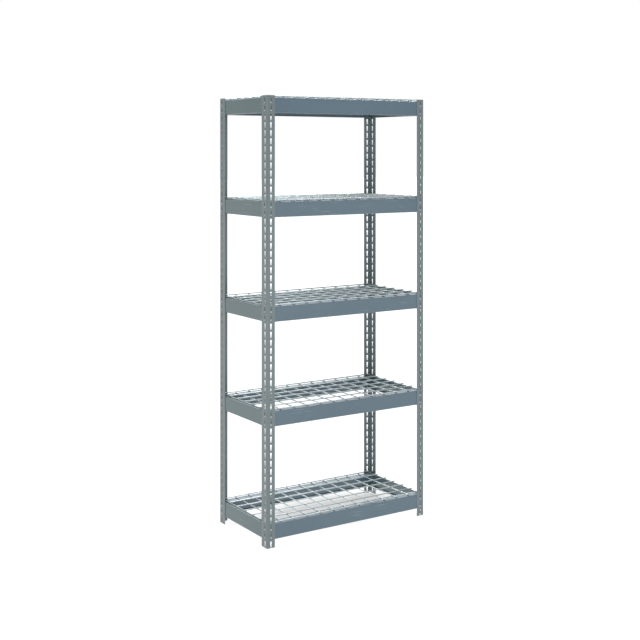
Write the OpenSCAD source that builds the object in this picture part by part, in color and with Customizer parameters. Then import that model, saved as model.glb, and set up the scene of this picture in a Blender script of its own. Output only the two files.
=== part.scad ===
// Five-level boltless steel shelving unit, millimetres.
// Origin at the floor under the middle of the unit: X is the width, Y the depth (front at -Y), Z up.

/* [Overall] */
// Width over the outer faces of the posts
overall_w = 934;
// [700:1:1300]
// Depth over the outer faces of the posts
overall_d = 472;
// [350:1:700]
// Number of keyholes up each post flange; the post is this many pitches tall, and a little over
slot_count = 56;
// [56:1:64]

/* [Posts] */
// Vertical pitch of the keyholes
slot_pitch = 38.1;
// [36:0.1:40]
// Width of the post flange seen from the front or back
post_front_leg = 42.5;
// [38:0.5:60]
// Width of the post flange seen from the side
post_side_leg = 52;
// [38:0.5:60]
// Length of post beyond a whole number of pitches
post_spare = 6.4;
// [0:0.1:10]
// Steel thickness of the posts
post_t = 1.9;
// [1.5:0.1:2.5]
// Outside radius of the post's bend
post_bend_r = 4;
// [3:0.1:5]

/* [Keyholes] */
// Distance from the post's outer corner to the keyholes' centreline
slot_x = 21.5;
// [19:0.1:25]
// Height of the lowest rivet seat above the floor
slot_seat_z = 9.9;
// [8.5:0.1:12]
// Clearance between a seated rivet's shank and the keyhole's tapering sides
seat_clear = 0.1;
// [0.05:0.05:0.3]
// Depth of the keyhole's narrow round below the rivet seat
slot_drop = 4.8;
// [3:0.1:5]
// Clearance round a rivet's head in the wide upper end
entry_clear = 0.4;
// [0.3:0.05:0.6]
// Distance from the seat up to the middle of the wide end
slot_rise = 16.7;
// [14:0.1:18]

/* [Beams] */
// Height of the beam's outer face
beam_h = 72;
// [68:0.5:74]
// Steel thickness of the beams
beam_t = 1.9;
// [1.5:0.1:2.2]
// Width of the front and rear beams' top flange, which carries the deck
beam_top_leg = 54;
// [30:0.5:78]
// Width of the side beams' top flange
side_top_leg = 20;
// [10:0.5:30]
// Width of the beam's bottom return flange
beam_low_leg = 14;
// [8:0.5:20]
// Outside radius of the beam's bends
beam_bend_r = 3.2;
// [2.5:0.1:4]
// Gap between a beam's outer face and the inside of the post
beam_gap = 0.2;
// [0.1:0.05:0.4]
// Clearance from a beam's end to the beam or the bend that it meets in the corner
end_clear = 3;
// [1.5:0.25:5]
// Keyhole pitches from the lowest shelf up to each of the five shelves
shelf_2_up = 14;
// [10:1:14]
// Pitches up to the third shelf
shelf_3_up = 27;
// [24:1:27]
// Pitches up to the fourth shelf
shelf_4_up = 40;
// [37:1:40]
// Pitches up to the top shelf
shelf_5_up = 53;
// [50:1:53]

/* [Rivets] */
// Radius of the rivet's shank
rivet_r = 3;
// [2.6:0.05:3.4]
// Radius of the rivet's outer head
rivet_head_r = 4.7;
// [4.4:0.05:5.2]
// Thickness of the outer head
rivet_head_t = 2;
// [1.5:0.1:2.5]
// Height of the lower rivet above the bottom of its beam
rivet_z = 10.5;
// [9.5:0.1:12]

/* [Deck] */
// Diameter of the deck wires
wire_d = 5.7;
// [4:0.1:6]
// Square pitch of the deck grid
grid = 76.2;
// [60:0.1:90]
// Distance from the unit's side to the end cross wires
end_wire_in = 17;
// [14:0.5:22]
// Distance from the unit's side to the tips of the long wires
wire_tip_in = 9;
// [7:0.5:12]
// Distance from the unit's front or back to the edge wires
edge_wire_in = 9.5;
// [8.5:0.5:14]
// Depth by which crossing wires are welded into one another
weld_in = 0.3;
// [0.2:0.05:0.6]

/* [Hidden] */
$fn = 48;
post_h = slot_count * slot_pitch + post_spare;
half_w = overall_w / 2;
half_d = overall_d / 2;
shelf_up = [0, shelf_2_up, shelf_3_up, shelf_4_up, shelf_5_up];
// the lower rivets of the lowest shelf sit in the second keyholes from the floor
shelf_1_z = slot_seat_z + slot_pitch - rivet_z;
web_in = post_t + beam_gap;
web_back = web_in + beam_t;
// a side beam's flanges stop clear of the front and rear beams' flanges
cope_top = web_in + beam_top_leg + 1.5;
cope_low = web_in + beam_low_leg + 1.5;
beam_end = max(web_back, post_bend_r) + end_clear;
slot_top_r = rivet_head_r + entry_clear;
// the sides leave the wide round a little below its middle and pass the seated shank with its clearance
slot_side_x = slot_top_r * cos(25);
slot_side_z = slot_rise - slot_top_r * sin(25) + 0.5;
slot_lean = atan((slot_side_x - rivet_r - seat_clear) / slot_side_z);
slot_seat_x = (rivet_r + seat_clear) / cos(slot_lean);
slot_low_x = slot_seat_x - slot_drop * (slot_side_x - slot_seat_x) / slot_side_z;
slot_low_r = slot_low_x + 0.25;
rivet_hole_r = rivet_r + 0.05;
head_gap = 0.1;
tail_r = rivet_r + 1.5;
tail_t = 1.8;
wire_r = wire_d / 2;
cross_z = beam_h + wire_r;
long_z = cross_z + wire_d - weld_in;
end_x = half_w - end_wire_in;
edge_y = half_d - edge_wire_in;
// the grid is centred and keeps clear of the end and edge wires
cross_n = floor((end_x - wire_d * 2) / grid);
long_n = floor((edge_y - wire_d * 2) / grid);
enamel = [0.42, 0.48, 0.52];
enamel_side = [0.47, 0.51, 0.54];
zinc = [0.78, 0.80, 0.81];

function shelf_z(k) = shelf_1_z + shelf_up[k - 1] * slot_pitch;

// One keyhole, with its rivet seat at the origin: a wide round above, a narrow one below,
// and tapering sides between them, where a rivet's shank wedges
module keyhole() {
    translate([0, -slot_drop]) rotate(90) circle(r = slot_low_r);
    translate([0, slot_rise]) rotate(-90) circle(r = slot_top_r);
    polygon([
        [-slot_low_x, -slot_drop],
        [slot_low_x, -slot_drop],
        [slot_side_x, slot_side_z],
        [-slot_side_x, slot_side_z]
    ]);
}

// A slotted flange lying flat, x from the bend's end to the flange's free edge
module slotted(leg) {
    difference() {
        translate([post_bend_r, 0]) square([leg - post_bend_r, post_h]);
        for (i = [0 : slot_count - 1])
            translate([slot_x, slot_seat_z + i * slot_pitch]) keyhole();
    }
}

// A quarter ring, the section of a bend, with its corner at the origin
module bend(r, t) {
    difference() {
        square([r, r]);
        translate([r, r]) circle(r = r - t);
        difference() {
            square([r, r]);
            translate([r, r]) circle(r = r);
        }
    }
}

// One post with its outer corner on the Z axis and its flanges along +X and +Y
module post() {
    color(enamel) union() {
        translate([0, post_t, 0]) rotate([90, 0, 0])
            linear_extrude(post_t) slotted(post_front_leg);
        rotate([0, 0, 90]) rotate([90, 0, 0])
            linear_extrude(post_t) slotted(post_side_leg);
        linear_extrude(post_h) bend(post_bend_r, post_t);
    }
}

// Section of a beam: x is inward from the outer face, y is up
module beam_section(top_leg) {
    translate([0, beam_bend_r]) square([beam_t, beam_h - 2 * beam_bend_r]);
    translate([beam_bend_r, beam_h - beam_t]) square([top_leg - beam_bend_r, beam_t]);
    translate([beam_bend_r, 0]) square([beam_low_leg - beam_bend_r, beam_t]);
    bend(beam_bend_r, beam_t);
    translate([0, beam_h]) mirror([0, 1]) bend(beam_bend_r, beam_t);
}

// A beam along X, centred, outer face at y = 0, with its four rivet holes
module beam(len, rivet_in, top_leg) {
    difference() {
        translate([-len / 2, 0, 0]) rotate([90, 0, 90])
            linear_extrude(len) beam_section(top_leg);
        for (s = [-1, 1], h = [0, slot_pitch])
            translate([s * (len / 2 - rivet_in), -1, rivet_z + h])
                rotate([-90, 0, 0]) cylinder(r = rivet_hole_r, h = beam_t + 2);
    }
}

// The notches at a side beam's ends, where its flanges would meet the long beams' flanges
module notches(len) {
    for (s = [-1, 1]) {
        translate([s * len / 2 - cope_top + beam_end, beam_t, beam_h / 2])
            cube([2 * (cope_top - beam_end), side_top_leg + 1, beam_h]);
        translate([s * len / 2 - cope_low + beam_end, beam_t, -beam_h / 2])
            cube([2 * (cope_low - beam_end), side_top_leg + 1, beam_h]);
    }
}

// One rivet along Y: outer head before the post, shank, formed tail behind the beam
module rivet() {
    rotate([-90, 0, 0]) rotate_extrude() polygon([
        [0, -web_in - head_gap - rivet_head_t],
        [rivet_head_r - 1.6, -web_in - head_gap - rivet_head_t],
        [rivet_head_r - 0.4, -web_in - head_gap - rivet_head_t + 0.8],
        [rivet_head_r, -web_in - head_gap - 0.5],
        [rivet_head_r, -web_in - head_gap],
        [rivet_r, -web_in - head_gap],
        [rivet_r, beam_t],
        [tail_r, beam_t],
        [tail_r, beam_t + tail_t - 0.6],
        [tail_r - 0.6, beam_t + tail_t],
        [0, beam_t + tail_t]
    ]);
}

// The four rivets of a beam, in the beam's own place
module rivet_set(len, rivet_in) {
    for (s = [-1, 1], h = [0, slot_pitch])
        translate([s * (len / 2 - rivet_in), 0, rivet_z + h]) rivet();
}

long_len = overall_w - 2 * beam_end;
short_len = overall_d - 2 * beam_end;
rivet_in = slot_x - beam_end;

module at_front(k) { translate([0, -half_d + web_in, shelf_z(k)]) children(); }
module at_rear(k) { translate([0, half_d - web_in, shelf_z(k)]) rotate([0, 0, 180]) children(); }
module at_left(k) { translate([-half_w + web_in, 0, shelf_z(k)]) rotate([0, 0, -90]) children(); }
module at_right(k) { translate([half_w - web_in, 0, shelf_z(k)]) rotate([0, 0, 90]) children(); }

module long_beam() { color(enamel) beam(long_len, rivet_in, beam_top_leg); }
module short_beam() {
    color(enamel_side) difference() {
        beam(short_len, rivet_in, side_top_leg);
        notches(short_len);
    }
}
module long_rivets() { color(zinc) rivet_set(long_len, rivet_in); }
module short_rivets() { color(zinc) rivet_set(short_len, rivet_in); }

// Front-to-back wires, lying on the beams' top flanges
module cross_wires(k) {
    color(zinc) translate([0, 0, shelf_z(k) + cross_z]) {
        for (i = [-cross_n : cross_n]) wire_y(i * grid);
        for (s = [-1, 1]) wire_y(s * end_x);
    }
}

// Side-to-side wires, welded on top of the cross wires
module long_wires(k) {
    color(zinc) translate([0, 0, shelf_z(k) + long_z]) {
        for (i = [-long_n : long_n]) wire_x(i * grid);
        for (s = [-1, 1]) wire_x(s * edge_y);
    }
}

module wire_y(x) {
    translate([x, 0, 0]) rotate([90, 0, 0])
        cylinder(r = wire_r, h = 2 * (edge_y + wire_r), center = true);
}

module wire_x(y) {
    translate([0, y, 0]) rotate([0, 90, 0])
        cylinder(r = wire_r, h = 2 * (half_w - wire_tip_in), center = true);
}

module post_front_left() { translate([-half_w, -half_d, 0]) post(); }
module post_front_right() { translate([half_w, -half_d, 0]) mirror([1, 0, 0]) post(); }
module post_rear_left() { translate([-half_w, half_d, 0]) mirror([0, 1, 0]) post(); }
module post_rear_right() { translate([half_w, half_d, 0]) rotate([0, 0, 180]) post(); }

// Shelf 1
module beam_front_1() { at_front(1) long_beam(); }
module beam_rear_1() { at_rear(1) long_beam(); }
module beam_left_1() { at_left(1) short_beam(); }
module beam_right_1() { at_right(1) short_beam(); }
module rivets_front_1() { at_front(1) long_rivets(); }
module rivets_rear_1() { at_rear(1) long_rivets(); }
module rivets_left_1() { at_left(1) short_rivets(); }
module rivets_right_1() { at_right(1) short_rivets(); }
module deck_1_cross_wires() { cross_wires(1); }
module deck_1_long_wires() { long_wires(1); }

// Shelf 2
module beam_front_2() { at_front(2) long_beam(); }
module beam_rear_2() { at_rear(2) long_beam(); }
module beam_left_2() { at_left(2) short_beam(); }
module beam_right_2() { at_right(2) short_beam(); }
module rivets_front_2() { at_front(2) long_rivets(); }
module rivets_rear_2() { at_rear(2) long_rivets(); }
module rivets_left_2() { at_left(2) short_rivets(); }
module rivets_right_2() { at_right(2) short_rivets(); }
module deck_2_cross_wires() { cross_wires(2); }
module deck_2_long_wires() { long_wires(2); }

// Shelf 3
module beam_front_3() { at_front(3) long_beam(); }
module beam_rear_3() { at_rear(3) long_beam(); }
module beam_left_3() { at_left(3) short_beam(); }
module beam_right_3() { at_right(3) short_beam(); }
module rivets_front_3() { at_front(3) long_rivets(); }
module rivets_rear_3() { at_rear(3) long_rivets(); }
module rivets_left_3() { at_left(3) short_rivets(); }
module rivets_right_3() { at_right(3) short_rivets(); }
module deck_3_cross_wires() { cross_wires(3); }
module deck_3_long_wires() { long_wires(3); }

// Shelf 4
module beam_front_4() { at_front(4) long_beam(); }
module beam_rear_4() { at_rear(4) long_beam(); }
module beam_left_4() { at_left(4) short_beam(); }
module beam_right_4() { at_right(4) short_beam(); }
module rivets_front_4() { at_front(4) long_rivets(); }
module rivets_rear_4() { at_rear(4) long_rivets(); }
module rivets_left_4() { at_left(4) short_rivets(); }
module rivets_right_4() { at_right(4) short_rivets(); }
module deck_4_cross_wires() { cross_wires(4); }
module deck_4_long_wires() { long_wires(4); }

// Shelf 5
module beam_front_5() { at_front(5) long_beam(); }
module beam_rear_5() { at_rear(5) long_beam(); }
module beam_left_5() { at_left(5) short_beam(); }
module beam_right_5() { at_right(5) short_beam(); }
module rivets_front_5() { at_front(5) long_rivets(); }
module rivets_rear_5() { at_rear(5) long_rivets(); }
module rivets_left_5() { at_left(5) short_rivets(); }
module rivets_right_5() { at_right(5) short_rivets(); }
module deck_5_cross_wires() { cross_wires(5); }
module deck_5_long_wires() { long_wires(5); }

post_front_left();
post_front_right();
post_rear_left();
post_rear_right();
beam_front_1();
beam_rear_1();
beam_left_1();
beam_right_1();
rivets_front_1();
rivets_rear_1();
rivets_left_1();
rivets_right_1();
deck_1_cross_wires();
deck_1_long_wires();
beam_front_2();
beam_rear_2();
beam_left_2();
beam_right_2();
rivets_front_2();
rivets_rear_2();
rivets_left_2();
rivets_right_2();
deck_2_cross_wires();
deck_2_long_wires();
beam_front_3();
beam_rear_3();
beam_left_3();
beam_right_3();
rivets_front_3();
rivets_rear_3();
rivets_left_3();
rivets_right_3();
deck_3_cross_wires();
deck_3_long_wires();
beam_front_4();
beam_rear_4();
beam_left_4();
beam_right_4();
rivets_front_4();
rivets_rear_4();
rivets_left_4();
rivets_right_4();
deck_4_cross_wires();
deck_4_long_wires();
beam_front_5();
beam_rear_5();
beam_left_5();
beam_right_5();
rivets_front_5();
rivets_rear_5();
rivets_left_5();
rivets_right_5();
deck_5_cross_wires();
deck_5_long_wires();
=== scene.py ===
import bpy
import math
import random
from mathutils import Matrix, Vector


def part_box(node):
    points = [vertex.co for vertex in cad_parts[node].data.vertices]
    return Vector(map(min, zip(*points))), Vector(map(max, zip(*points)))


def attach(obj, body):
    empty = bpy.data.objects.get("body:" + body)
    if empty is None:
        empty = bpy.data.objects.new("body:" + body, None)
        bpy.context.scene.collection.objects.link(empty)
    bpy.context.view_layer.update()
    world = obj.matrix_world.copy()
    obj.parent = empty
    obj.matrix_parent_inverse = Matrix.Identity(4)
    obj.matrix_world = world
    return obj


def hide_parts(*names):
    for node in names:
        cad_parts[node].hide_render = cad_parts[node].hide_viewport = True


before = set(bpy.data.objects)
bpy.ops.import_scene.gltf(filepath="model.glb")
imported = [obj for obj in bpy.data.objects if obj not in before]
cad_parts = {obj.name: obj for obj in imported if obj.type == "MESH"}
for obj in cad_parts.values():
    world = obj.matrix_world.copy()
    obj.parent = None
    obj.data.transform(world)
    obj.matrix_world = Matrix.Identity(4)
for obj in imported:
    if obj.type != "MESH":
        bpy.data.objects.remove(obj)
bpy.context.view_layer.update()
shelfCount = 5
sideNames = ["front", "rear", "left", "right"]
random.seed(36)
print("frame loaded:", len(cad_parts), "nodes")


def deselectAll():
    if bpy.context.object and bpy.context.object.mode != "OBJECT":
        bpy.ops.object.mode_set(mode="OBJECT")
    bpy.ops.object.select_all(action="DESELECT")


def makeActive(piece):
    deselectAll()
    piece.select_set(True)
    bpy.context.view_layer.objects.active = piece


def placeInMesh(piece):
    # the object's own place goes into its mesh, so the object sits at the origin
    piece.data.transform(piece.matrix_basis)
    piece.matrix_basis = Matrix.Identity(4)
    piece.data.update()


def copyPiece(piece, name, matrix):
    twin = piece.copy()
    twin.data = piece.data.copy()
    twin.name = name
    twin.data.name = name
    twin.data.transform(matrix)
    bpy.context.scene.collection.objects.link(twin)
    return twin


def joinPieces(pieces, name):
    deselectAll()
    for piece in pieces:
        piece.select_set(True)
    bpy.context.view_layer.objects.active = pieces[0]
    if len(pieces) > 1:
        bpy.ops.object.join()
    whole = bpy.context.object
    whole.name = name
    whole.data.name = name
    return whole


def smoothPiece(piece, angle):
    makeActive(piece)
    bpy.ops.object.shade_smooth_by_angle(angle=math.radians(angle))


def dress(piece, material):
    piece.data.materials.clear()
    piece.data.materials.append(material)


def newMaterial(name):
    material = bpy.data.materials.new(name)
    material.use_nodes = True
    tree = material.node_tree
    shader = tree.nodes["Principled BSDF"]
    return material, tree, shader


def addNode(tree, kind, **settings):
    node = tree.nodes.new(kind)
    for key, value in settings.items():
        setattr(node, key, value)
    return node


def noiseNode(tree, vector, scale, detail):
    node = addNode(tree, "ShaderNodeTexNoise")
    node.inputs["Scale"].default_value = scale
    node.inputs["Detail"].default_value = detail
    tree.links.new(vector, node.inputs["Vector"])
    return node.outputs["Fac"]


def rampNode(tree, value, ends):
    node = addNode(tree, "ShaderNodeValToRGB")
    for element, position in zip(node.color_ramp.elements, ends):
        element.position = position
    tree.links.new(value, node.inputs["Fac"])
    return node.outputs["Color"]


def mixColor(tree, amount, first, second):
    node = addNode(tree, "ShaderNodeMix", data_type="RGBA")
    sockets = (node.inputs[0], node.inputs[6], node.inputs[7])
    for socket, value in zip(sockets, (amount, first, second)):
        if isinstance(value, (int, float, tuple)):
            socket.default_value = value
        else:
            tree.links.new(value, socket)
    return node.outputs[2]


def mathNode(tree, operation, first, second):
    node = addNode(tree, "ShaderNodeMath", operation=operation)
    for socket, value in zip(node.inputs, (first, second)):
        if isinstance(value, (int, float)):
            socket.default_value = value
        else:
            tree.links.new(value, socket)
    return node.outputs[0]


def rangeNode(tree, value, ends):
    node = addNode(tree, "ShaderNodeMapRange")
    node.inputs["To Min"].default_value, node.inputs["To Max"].default_value = ends
    tree.links.new(value, node.inputs["Value"])
    return node.outputs["Result"]


def stretchNode(tree, vector, scale):
    node = addNode(tree, "ShaderNodeMapping")
    node.inputs["Scale"].default_value = scale
    tree.links.new(vector, node.inputs["Vector"])
    return node.outputs["Vector"]


def shiftTone(base, factor):
    return tuple(min(1.0, part * factor) for part in base) + (1,)


def bumpNode(tree, height, strength, distance, before=None):
    node = addNode(tree, "ShaderNodeBump")
    node.inputs["Strength"].default_value = strength
    node.inputs["Distance"].default_value = distance
    tree.links.new(height, node.inputs["Height"])
    if before is not None:
        tree.links.new(before, node.inputs["Normal"])
    return node.outputs["Normal"]


enamel = {
    "post": (0.110, 0.144, 0.151),
    "beam": (0.071, 0.115, 0.149),
    "sideBeam": (0.064, 0.108, 0.117),
    "drift": (0.90, 1.10),           # darkest and lightest drift of the tone over a piece
    "driftScale": 2.3,               # scales are in cells to a metre
    "cloud": 0.16,
    "cloudScale": 38,
    "cloudTint": (1.25, 1.2, 1.15),
    "fleck": 0.16,
    "fleckScale": 900,
    "fleckRange": (0.66, 0.74),
    "fleckColor": (0.36, 0.41, 0.43, 1),
    "scratch": 0.45,                 # how strongly the scratches show
    "scratchAcross": 330,
    "scratchAlong": 7,
    "scratchRange": (0.66, 0.70),
    "scratchColor": (0.34, 0.39, 0.41, 1),
    "scratchBump": 0.3,
    "scratchDepth": 0.00005,
    "handledScale": 6,
    "handledRange": (0.48, 0.66),
    # the edge keys give sharp edges thin paint and also a painted highlight
    "edgeRadius": 0.0012,
    "edgeScale": 160,
    "edgeRange": (0.4, 3.4),
    "edgeWearAndHighlightMost": 0.65,
    "edgeWearAndHighlightColor": (0.33, 0.38, 0.40, 1),
    "dustScale": 70,
    "dustRange": (0.0, 0.22),
    "dustFacing": (0.6, 0.95),       # how far a face must turn up before dust lies on it
    "dustColor": (0.55, 0.56, 0.55, 1),
    "dustDull": 0.8,
    "glossScale": 14,
    "roughRange": (0.26, 0.36),
    "peelScale": 420,                # orange peel
    "peelBump": 0.45,
    "peelDepth": 0.00012,
    "coat": 0.30,
    "coatRough": 0.14,
}


def enamelMaterial(name, base, scratchRun):
    # baked grey-blue enamel: orange peel, uneven gloss, thin paint and a painted highlight on
    # sharp edges, dust on top
    material, tree, shader = newMaterial(name)
    where = addNode(tree, "ShaderNodeTexCoord").outputs["Object"]
    broad = noiseNode(tree, where, enamel["driftScale"], 2)
    cloud = noiseNode(tree, where, enamel["cloudScale"], 4)
    speck = noiseNode(tree, where, enamel["fleckScale"], 2)
    dark, light = (shiftTone(base, factor) for factor in enamel["drift"])
    tone = mixColor(tree, broad, dark, light)
    cloudTone = tuple(part * factor for part, factor in zip(base, enamel["cloudTint"])) + (1,)
    tone = mixColor(tree, mathNode(tree, "MULTIPLY", cloud, enamel["cloud"]), tone, cloudTone)
    fleck = rampNode(tree, speck, enamel["fleckRange"])
    fleck = mathNode(tree, "MULTIPLY", fleck, enamel["fleck"])
    tone = mixColor(tree, fleck, tone, enamel["fleckColor"])
    # hairline scratches along the piece, gathered in patches where it is handled
    hairline = noiseNode(tree, stretchNode(tree, where, scratchRun), 1.0, 2)
    hairline = rampNode(tree, hairline, enamel["scratchRange"])
    handled = noiseNode(tree, where, enamel["handledScale"], 3)
    handled = rampNode(tree, handled, enamel["handledRange"])
    scratch = mathNode(tree, "MULTIPLY", hairline, handled)
    scratch = mathNode(tree, "MULTIPLY", scratch, enamel["scratch"])
    tone = mixColor(tree, scratch, tone, enamel["scratchColor"])
    # thin, lighter paint where the sheet turns a sharp edge, together with a painted highlight
    # along that edge
    rounded = addNode(tree, "ShaderNodeBevel", samples=4)
    rounded.inputs["Radius"].default_value = enamel["edgeRadius"]
    plain = addNode(tree, "ShaderNodeNewGeometry")
    meet = addNode(tree, "ShaderNodeVectorMath", operation="DOT_PRODUCT")
    tree.links.new(rounded.outputs["Normal"], meet.inputs[0])
    tree.links.new(plain.outputs["Normal"], meet.inputs[1])
    edge = mathNode(tree, "SUBTRACT", 1.0, meet.outputs["Value"])
    uneven = noiseNode(tree, where, enamel["edgeScale"], 3)
    edge = mathNode(tree, "MULTIPLY", edge, rangeNode(tree, uneven, enamel["edgeRange"]))
    edge = mathNode(tree, "MINIMUM", edge, enamel["edgeWearAndHighlightMost"])
    tone = mixColor(tree, edge, tone, enamel["edgeWearAndHighlightColor"])
    # a little dust on what faces up
    face = addNode(tree, "ShaderNodeSeparateXYZ")
    tree.links.new(plain.outputs["Normal"], face.inputs[0])
    upward = rampNode(tree, face.outputs["Z"], enamel["dustFacing"])
    patches = noiseNode(tree, where, enamel["dustScale"], 4)
    patches = rangeNode(tree, patches, enamel["dustRange"])
    dust = mathNode(tree, "MULTIPLY", upward, patches)
    tone = mixColor(tree, dust, tone, enamel["dustColor"])
    tree.links.new(tone, shader.inputs["Base Color"])
    gloss = noiseNode(tree, where, enamel["glossScale"], 4)
    gloss = rangeNode(tree, gloss, enamel["roughRange"])
    dull = mathNode(tree, "MULTIPLY", dust, enamel["dustDull"])
    tree.links.new(mathNode(tree, "ADD", gloss, dull), shader.inputs["Roughness"])
    peel = noiseNode(tree, where, enamel["peelScale"], 1.5)
    shape = bumpNode(tree, peel, enamel["peelBump"], enamel["peelDepth"])
    unscratched = mathNode(tree, "SUBTRACT", 1.0, scratch)
    shape = bumpNode(tree, unscratched, enamel["scratchBump"], enamel["scratchDepth"], shape)
    tree.links.new(shape, shader.inputs["Normal"])
    shader.inputs["Coat Weight"].default_value = enamel["coat"]
    shader.inputs["Coat Roughness"].default_value = enamel["coatRough"]
    return material


zinc = {
    "wire": (0.43, 0.49, 0.505),
    "rivet": (0.36, 0.41, 0.43),
    "drift": (0.86, 1.12),
    "spangle": 260,                  # crystals to a metre
    "dull": 0.35,
    "dullScale": 24,
    "dullRange": (0.52, 0.68),
    "dullColor": (0.62, 0.64, 0.65, 1),
    "dullRough": 0.14,
    "metallic": 0.85,
    "roughRange": (0.30, 0.48),
    "markAcross": 1500,              # drawing marks along a wire
    "markAlong": 12,
    "rivetMark": 300,
    "markBump": 0.25,
    "markDepth": 0.0001,
}


def zincMaterial(name, base, drawn):
    # galvanised steel: small spangle, drawing marks along the wire, dull patches
    material, tree, shader = newMaterial(name)
    where = addNode(tree, "ShaderNodeTexCoord").outputs["Object"]
    crystals = addNode(tree, "ShaderNodeTexVoronoi")
    crystals.inputs["Scale"].default_value = zinc["spangle"]
    tree.links.new(where, crystals.inputs["Vector"])
    grain = addNode(tree, "ShaderNodeSeparateColor")
    tree.links.new(crystals.outputs["Color"], grain.inputs[0])
    dark, light = (shiftTone(base, factor) for factor in zinc["drift"])
    tone = mixColor(tree, grain.outputs[0], dark, light)
    dull = noiseNode(tree, where, zinc["dullScale"], 4)
    dull = rampNode(tree, dull, zinc["dullRange"])
    amount = mathNode(tree, "MULTIPLY", dull, zinc["dull"])
    tone = mixColor(tree, amount, tone, zinc["dullColor"])
    tree.links.new(tone, shader.inputs["Base Color"])
    shader.inputs["Metallic"].default_value = zinc["metallic"]
    rough = rangeNode(tree, grain.outputs[1], zinc["roughRange"])
    rougher = mathNode(tree, "MULTIPLY", dull, zinc["dullRough"])
    tree.links.new(mathNode(tree, "ADD", rough, rougher), shader.inputs["Roughness"])
    lines = noiseNode(tree, stretchNode(tree, where, drawn), 1.0, 3)
    marks = bumpNode(tree, lines, zinc["markBump"], zinc["markDepth"])
    tree.links.new(marks, shader.inputs["Normal"])
    return material


across, along = enamel["scratchAcross"], enamel["scratchAlong"]
postEnamel = enamelMaterial("postEnamel", enamel["post"], (across, across, along))
beamEnamel = enamelMaterial("beamEnamel", enamel["beam"], (along, across, across))
sideBeamEnamel = enamelMaterial("sideBeamEnamel", enamel["sideBeam"], (across, along, across))
across, along = zinc["markAcross"], zinc["markAlong"]
crossWireZinc = zincMaterial("crossWireZinc", zinc["wire"], (across, along, across))
longWireZinc = zincMaterial("longWireZinc", zinc["wire"], (along, across, across))
rivetZinc = zincMaterial("rivetZinc", zinc["rivet"], (zinc["rivetMark"],) * 3)
print("materials made")


# posts and beams are the frame's own solids, with softened sheet edges
sheetEdge = {"weld": 0.00002, "bevel": 0.00025, "steps": 2, "turn": 40}


def softenEdges(piece):
    weld = piece.modifiers.new("weld", "WELD")
    weld.merge_threshold = sheetEdge["weld"]
    bevel = piece.modifiers.new("edge", "BEVEL")
    bevel.width = sheetEdge["bevel"]
    bevel.segments = sheetEdge["steps"]
    bevel.limit_method = "ANGLE"
    bevel.angle_limit = math.radians(sheetEdge["turn"])
    bevel.harden_normals = True
    bevel.use_clamp_overlap = True


for corner in ["front_left", "front_right", "rear_left", "rear_right"]:
    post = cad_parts["post_" + corner]
    dress(post, postEnamel)
    softenEdges(post)

for level in range(1, shelfCount + 1):
    for side in sideNames:
        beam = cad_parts[f"beam_{side}_{level}"]
        dress(beam, beamEnamel if side in ("front", "rear") else sideBeamEnamel)
        softenEdges(beam)
print("posts and beams dressed")


rivet = {
    "sides": 28,
    "smooth": 50,
    "shankRadius": 0.0030,
    "headRadius": 0.0047,
    "headThick": 0.0020,
    "tailRadius": 0.0045,
    "tailThick": 0.0018,
    "postGap": 0.0001,
    "webIn": 0.0021,                 # outer face of the post to outer face of the beam
    "webThick": 0.0019,
    "dimple": 0.0004,
    # shares of the radius and of the dimple's depth, or of the thickness
    "dimpleShape": [(0.18, 1), (0.30, 0.4)],
    "headShape": [(0.42, 0), (0.62, 0.07), (0.80, 0.22), (0.92, 0.45), (0.985, 0.70), (1, 0.88)],
    "headUnder": 0.99,
    "tailShape": [(0.97, 0), (1, 0.35), (0.93, 0.72), (0.76, 0.95), (0.50, 1), (0.34, 0.72),
                  (0.12, 0.60)],
}


def turnByExtrudes(name, sides, profile):
    # a disc is pulled up and widened or narrowed step by step, as on a lathe
    deselectAll()
    firstRadius, firstHeight = profile[0]
    bpy.ops.mesh.primitive_circle_add(
        vertices=sides, radius=firstRadius, fill_type="NGON", location=(0, 0, firstHeight))
    piece = bpy.context.object
    piece.name = name
    bpy.ops.object.mode_set(mode="EDIT")
    bpy.ops.mesh.select_mode(type="FACE")
    bpy.ops.mesh.select_all(action="SELECT")
    radius, height = firstRadius, firstHeight
    for nextRadius, nextHeight in profile[1:]:
        pull = {"value": (0, 0, nextHeight - height)}
        bpy.ops.mesh.extrude_region_move(TRANSFORM_OT_translate=pull)
        factor = nextRadius / radius
        bpy.ops.transform.resize(value=(factor, factor, 1), center_override=(0, 0, nextHeight))
        radius, height = nextRadius, nextHeight
    bpy.ops.mesh.select_all(action="SELECT")
    bpy.ops.mesh.normals_make_consistent(inside=False)
    bpy.ops.object.mode_set(mode="OBJECT")
    placeInMesh(piece)
    return piece


def makeRivet():
    # built along Z with the beam's outer face at zero and the head below
    headBase = -rivet["webIn"] - rivet["postGap"]
    top = headBase - rivet["headThick"]
    head, headThick = rivet["headRadius"], rivet["headThick"]
    shank, web = rivet["shankRadius"], rivet["webThick"]
    tail, tailThick = rivet["tailRadius"], rivet["tailThick"]
    profile = [(head * wide, top + rivet["dimple"] * deep) for wide, deep in rivet["dimpleShape"]]
    profile += [(head * wide, top + headThick * tall) for wide, tall in rivet["headShape"]]
    profile += [(head * rivet["headUnder"], headBase), (shank, headBase), (shank, web)]
    profile += [(tail * wide, web + tailThick * tall) for wide, tall in rivet["tailShape"]]
    piece = turnByExtrudes("rivetPattern", rivet["sides"], profile)
    smoothPiece(piece, rivet["smooth"])
    return piece


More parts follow.
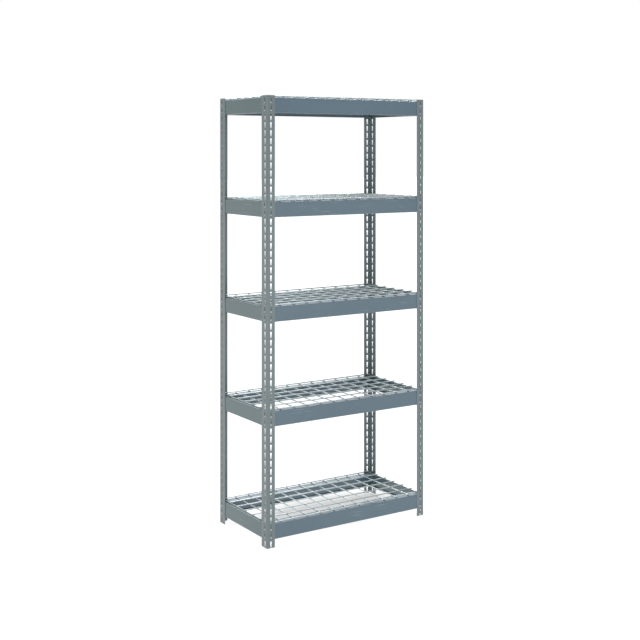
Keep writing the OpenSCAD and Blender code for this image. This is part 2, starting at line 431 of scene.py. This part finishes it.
inwardTurn = {"front": 0, "rear": math.pi, "left": -math.pi / 2, "right": math.pi / 2}
rivetPattern = makeRivet()
layDown = Matrix.Rotation(-math.pi / 2, 4, "X")     # +Z of the pattern points inward, along +Y
for level in range(1, shelfCount + 1):
    for side in sideNames:
        nodeName = f"rivets_{side}_{level}"
        low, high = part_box(nodeName)
        # the four holes are a head's radius in from the corners of the set's box
        r = rivet["headRadius"]
        heights = (low.z + r, high.z - r)
        headOut = rivet["webIn"] + rivet["postGap"] + rivet["headThick"]
        if side in ("front", "rear"):
            seat = low.y + headOut if side == "front" else high.y - headOut
            spots = [(x, seat, z) for x in (low.x + r, high.x - r) for z in heights]
        else:
            seat = low.x + headOut if side == "left" else high.x - headOut
            spots = [(seat, y, z) for y in (low.y + r, high.y - r) for z in heights]
        parts = []
        for index, spot in enumerate(spots):
            spin = Matrix.Rotation(random.uniform(0, math.tau), 4, "Z")
            matrix = Matrix.Rotation(inwardTurn[side], 4, "Z") @ layDown @ spin
            matrix = Matrix.Translation(spot) @ matrix
            parts.append(copyPiece(rivetPattern, f"{nodeName}_part{index}", matrix))
        rivetSet = joinPieces(parts, f"domed_{nodeName}")
        dress(rivetSet, rivetZinc)
        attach(rivetSet, f"beam_{side}_{level}")
        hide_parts(nodeName)
bpy.data.objects.remove(rivetPattern)
print("rivets made")


deck = {
    "grid": 0.0762,
    "clear": 4,                      # wire radii kept free inside the end wires
    "sides": 16,
    "smooth": 32,
    "burr": 0.0006,                  # bevel at the sheared ends
    "crown": 0.0004,                 # how far the cut face stands out
    "crownRim": 0.3,                 # share of the radius outside the crown
    "nuggetWide": 0.0031,
    "nuggetTall": 0.0013,
    "nuggetSmooth": 80,
    "wideVary": 0.15,
    "tallVary": 0.2,
    "weldStray": 0.0003,
}
endFacing = 0.99        # a face that looks this much along X is an end face
endReach = 0.00001


def makeWire(name, length, radius):
    # a straight wire along X, sheared at both ends
    deselectAll()
    bpy.ops.mesh.primitive_cylinder_add(
        vertices=deck["sides"], radius=radius, depth=length - 2 * deck["crown"],
        end_fill_type="NGON", rotation=(0, math.pi / 2, 0))
    piece = bpy.context.object
    piece.name = name
    placeInMesh(piece)
    bpy.ops.object.mode_set(mode="EDIT")
    bpy.ops.mesh.select_mode(type="FACE")
    for end in (-1, 1):
        bpy.ops.mesh.select_all(action="DESELECT")
        bpy.ops.object.mode_set(mode="OBJECT")
        for face in piece.data.polygons:
            face.select = face.normal.x * end > endFacing
        bpy.ops.object.mode_set(mode="EDIT")
        bpy.ops.mesh.bevel(
            offset=deck["burr"], segments=2, affect="EDGES", offset_type="OFFSET")
        bpy.ops.object.mode_set(mode="OBJECT")
        reach = max(abs(vertex.co.x) for vertex in piece.data.vertices)
        for face in piece.data.polygons:
            outermost = abs(face.center.x) > reach - endReach
            face.select = face.normal.x * end > endFacing and outermost
        bpy.ops.object.mode_set(mode="EDIT")
        bpy.ops.mesh.inset(thickness=radius * deck["crownRim"])
        bpy.ops.transform.translate(value=(end * deck["crown"], 0, 0))
    bpy.ops.object.mode_set(mode="OBJECT")
    smoothPiece(piece, deck["smooth"])
    return piece


def makeNugget():
    # flash squeezed out where two wires are spot welded
    deselectAll()
    bpy.ops.mesh.primitive_uv_sphere_add(segments=12, ring_count=6, radius=1)
    piece = bpy.context.object
    piece.name = "nuggetPattern"
    piece.scale = (deck["nuggetWide"], deck["nuggetWide"], deck["nuggetTall"])
    placeInMesh(piece)
    smoothPiece(piece, deck["nuggetSmooth"])
    return piece


def wirePlaces(end, radius):
    # a centred grid with one more wire at each end
    count = math.floor((end - deck["clear"] * radius) / deck["grid"])
    return [-end] + [i * deck["grid"] for i in range(-count, count + 1)] + [end]


def rolledWire(pattern, name, matrix):
    return copyPiece(pattern, name, matrix @ Matrix.Rotation(random.uniform(0, 1), 4, "X"))


def varied(amount):
    return random.uniform(1 - amount, 1 + amount)


def placeNugget(x, y, z):
    wideX, wideY = varied(deck["wideVary"]), varied(deck["wideVary"])
    size = Matrix.Diagonal((wideX, wideY, varied(deck["tallVary"]), 1))
    strayX, strayY = (random.uniform(-deck["weldStray"], deck["weldStray"]) for _ in "xy")
    spot = Matrix.Translation((x + strayX, y + strayY, z))
    spin = Matrix.Rotation(random.uniform(0, 3), 4, "Z")
    return copyPiece(nuggetPattern, "nugget", spot @ spin @ size)


nuggetPattern = makeNugget()
firstDeck = None
for level in range(1, shelfCount + 1):
    crossNode, longNode = f"deck_{level}_cross_wires", f"deck_{level}_long_wires"
    crossLow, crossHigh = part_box(crossNode)
    longLow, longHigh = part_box(longNode)
    wireRadius = (crossHigh.z - crossLow.z) / 2
    crossZ, longZ = (crossLow.z + crossHigh.z) / 2, (longLow.z + longHigh.z) / 2
    crossPlaces = wirePlaces(crossHigh.x - wireRadius, wireRadius)
    longPlaces = wirePlaces(longHigh.y - wireRadius, wireRadius)
    if firstDeck is None:
        crossWire = makeWire("crossWirePattern", crossHigh.y - crossLow.y, wireRadius)
        longWire = makeWire("longWirePattern", longHigh.x - longLow.x, wireRadius)
        quarter = Matrix.Rotation(math.pi / 2, 4, "Z")
        crossParts = [
            rolledWire(crossWire, f"cross{i}", Matrix.Translation((x, 0, 0)) @ quarter)
            for i, x in enumerate(crossPlaces)]
        longParts = [
            rolledWire(longWire, f"long{i}", Matrix.Translation((0, y, 0)))
            for i, y in enumerate(longPlaces)]
        weldZ = (crossZ + longZ) / 2 - crossZ
        nuggets = [placeNugget(x, y, weldZ) for x in crossPlaces for y in longPlaces]
        crossSet = joinPieces(crossParts + nuggets, "crossSetPattern")
        longSet = joinPieces(longParts, "longSetPattern")
        firstDeck = (crossSet, longSet)
        bpy.data.objects.remove(crossWire)
        bpy.data.objects.remove(longWire)
    crossWires = (firstDeck[0], crossNode, crossZ, crossWireZinc, "crossWires")
    longWires = (firstDeck[1], longNode, longZ, longWireZinc, "longWires")
    for pattern, node, z, material, word in (crossWires, longWires):
        wires = copyPiece(pattern, f"{word}_{level}", Matrix.Translation((0, 0, z)))
        dress(wires, material)
        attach(wires, f"deck_{level}")
        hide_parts(node)
for pattern in firstDeck:
    bpy.data.objects.remove(pattern)
bpy.data.objects.remove(nuggetPattern)
print("decks made")


stage = {
    "floorSize": 120,
    "floorTone": 0.08,
    "floorRough": 0.9,
    "floorGlow": 0.92,               # the floor's own glow, which keeps it pale
    "glowInPaintedShade": 0.56,               # less glow under the shelving: a painted shade on the floor
    "bounceUnder": 2.2,              # how much of that glow comes back as bounced light
    "shadeCentre": (0.12, 0.10, 0),
    "shadeSize": (0.42, 0.21, 1),
    "shadeEdge": (0.75, 1.35),       # where the shade starts and stops fading
    "sky": (0.25, 1.00),             # studio behind the camera, backdrop behind the shelving
    "skyTurn": (-0.6, 0.8),
    "backdrop": (0.545, 0.838, 0.0),
}
suns = {
    "overheadLight": {"power": 4.2, "spread": 40, "from": (0.25, 0.50, 1.0)},
    "washLight": {"power": 2.2, "spread": 50, "from": (-0.45, -0.75, 1.0)},
}
softBoxes = {
    "keyLight": {
        "power": 6, "size": (0.5, 2.6), "place": (-2.9, -1.7, 1.5), "target": (-0.3, 0, 1.1)},
    "fillLight": {
        "power": 5, "size": (1.8, 2.2), "place": (1.6, -3.4, 1.9), "target": (0, 0, 1.2)},
    "lowLight": {
        "power": 14, "size": (2.6, 0.6), "place": (-0.2, -3.4, 0.4), "target": (0, 0, 0.1)},
}


def fadeNode(tree, value, fromEnds, toEnds, **settings):
    node = addNode(tree, "ShaderNodeMapRange", **settings)
    for ends, word in ((fromEnds, "From"), (toEnds, "To")):
        node.inputs[word + " Min"].default_value, node.inputs[word + " Max"].default_value = ends
    tree.links.new(value, node.inputs["Value"])
    return node.outputs["Result"]


deselectAll()
bpy.ops.mesh.primitive_plane_add(size=stage["floorSize"])
floor = bpy.context.object
floor.name = "floor"
floorMaterial, floorTree, floorShader = newMaterial("paleFloor")
floorShader.inputs["Base Color"].default_value = (stage["floorTone"],) * 3 + (1,)
floorShader.inputs["Roughness"].default_value = stage["floorRough"]
floorShader.inputs["Emission Color"].default_value = (1, 1, 1, 1)
# the floor's glow drops in a soft ellipse under the shelving, a painted shade; rays that the
# camera does not see get part of it back as bounce
shade = addNode(floorTree, "ShaderNodeMapping", vector_type="POINT")
stretch = tuple(1 / size for size in stage["shadeSize"])
shift = tuple(-centre / size for centre, size in zip(stage["shadeCentre"], stage["shadeSize"]))
shade.inputs["Location"].default_value = shift
shade.inputs["Scale"].default_value = stretch
floorPlace = addNode(floorTree, "ShaderNodeTexCoord").outputs["Object"]
floorTree.links.new(floorPlace, shade.inputs["Vector"])
reach = addNode(floorTree, "ShaderNodeVectorMath", operation="LENGTH")
floorTree.links.new(shade.outputs["Vector"], reach.inputs[0])
glowEnds = (stage["glowInPaintedShade"], stage["floorGlow"])
floorGlowWithPaintedShade = fadeNode(floorTree, reach.outputs["Value"], stage["shadeEdge"], glowEnds,
                interpolation_type="SMOOTHSTEP")
cameraRay = addNode(floorTree, "ShaderNodeLightPath").outputs["Is Camera Ray"]
bounced = mathNode(floorTree, "SUBTRACT", 1.0, cameraRay)
missing = mathNode(floorTree, "SUBTRACT", stage["floorGlow"], floorGlowWithPaintedShade)
bounced = mathNode(floorTree, "MULTIPLY", bounced, missing)
bounced = mathNode(floorTree, "MULTIPLY", bounced, stage["bounceUnder"])
lit = mathNode(floorTree, "ADD", floorGlowWithPaintedShade, bounced)
floorTree.links.new(lit, floorShader.inputs["Emission Strength"])
dress(floor, floorMaterial)

world = bpy.data.worlds.new("studio")
bpy.context.scene.world = world
world.use_nodes = True
studio = world.node_tree
toward = addNode(studio, "ShaderNodeVectorMath", operation="DOT_PRODUCT")
toward.inputs[1].default_value = stage["backdrop"]
skyPlace = addNode(studio, "ShaderNodeTexCoord").outputs["Generated"]
studio.links.new(skyPlace, toward.inputs[0])
glow = fadeNode(studio, toward.outputs["Value"], stage["skyTurn"], stage["sky"])
seen = addNode(studio, "ShaderNodeLightPath").outputs["Is Camera Ray"]
strength = mathNode(studio, "MAXIMUM", glow, seen)
background = studio.nodes["Background"]
background.inputs["Color"].default_value = (1, 1, 1, 1)
studio.links.new(strength, background.inputs["Strength"])


def addLamp(name, lamp, power, place, direction):
    lamp.energy = power
    holder = bpy.data.objects.new(name, lamp)
    bpy.context.scene.collection.objects.link(holder)
    holder.location = place
    holder.rotation_euler = direction.to_track_quat("-Z", "Y").to_euler()


for name, sun in suns.items():
    lamp = bpy.data.lights.new(name, "SUN")
    lamp.angle = math.radians(sun["spread"])
    addLamp(name, lamp, sun["power"], (0, 0, 6), -Vector(sun["from"]))

for name, box in softBoxes.items():
    lamp = bpy.data.lights.new(name, "AREA")
    lamp.shape = "RECTANGLE"
    lamp.size, lamp.size_y = box["size"]
    direction = Vector(box["target"]) - Vector(box["place"])
    addLamp(name, lamp, box["power"], box["place"], direction)

# like a view camera, the back stays upright while the lens looks down, so the posts stay parallel
view = {
    "place": (-3.1917, -4.8820, 1.8782),
    "turn": 33.04,
    "down": 8.4452,
    "focal": 64.934,
    "sensor": 36,
    "farthest": 300,
}
cameraStand = bpy.data.objects.new("cameraStand", None)
bpy.context.scene.collection.objects.link(cameraStand)
cameraStand.location = view["place"]
cameraStand.rotation_euler = (math.pi / 2, 0, -math.radians(view["turn"]))
cameraData = bpy.data.cameras.new("camera")
camera = bpy.data.objects.new("camera", cameraData)
bpy.context.scene.collection.objects.link(camera)
camera.parent = cameraStand
lensLean = Matrix.Identity(4)
lensLean[1][2] = math.tan(math.radians(view["down"]))
camera.matrix_parent_inverse = lensLean
cameraData.lens = view["focal"]
cameraData.sensor_width = view["sensor"]
cameraData.clip_end = view["farthest"]
bpy.context.scene.camera = camera
bpy.context.scene.view_settings.view_transform = "Standard"
print("stage set")
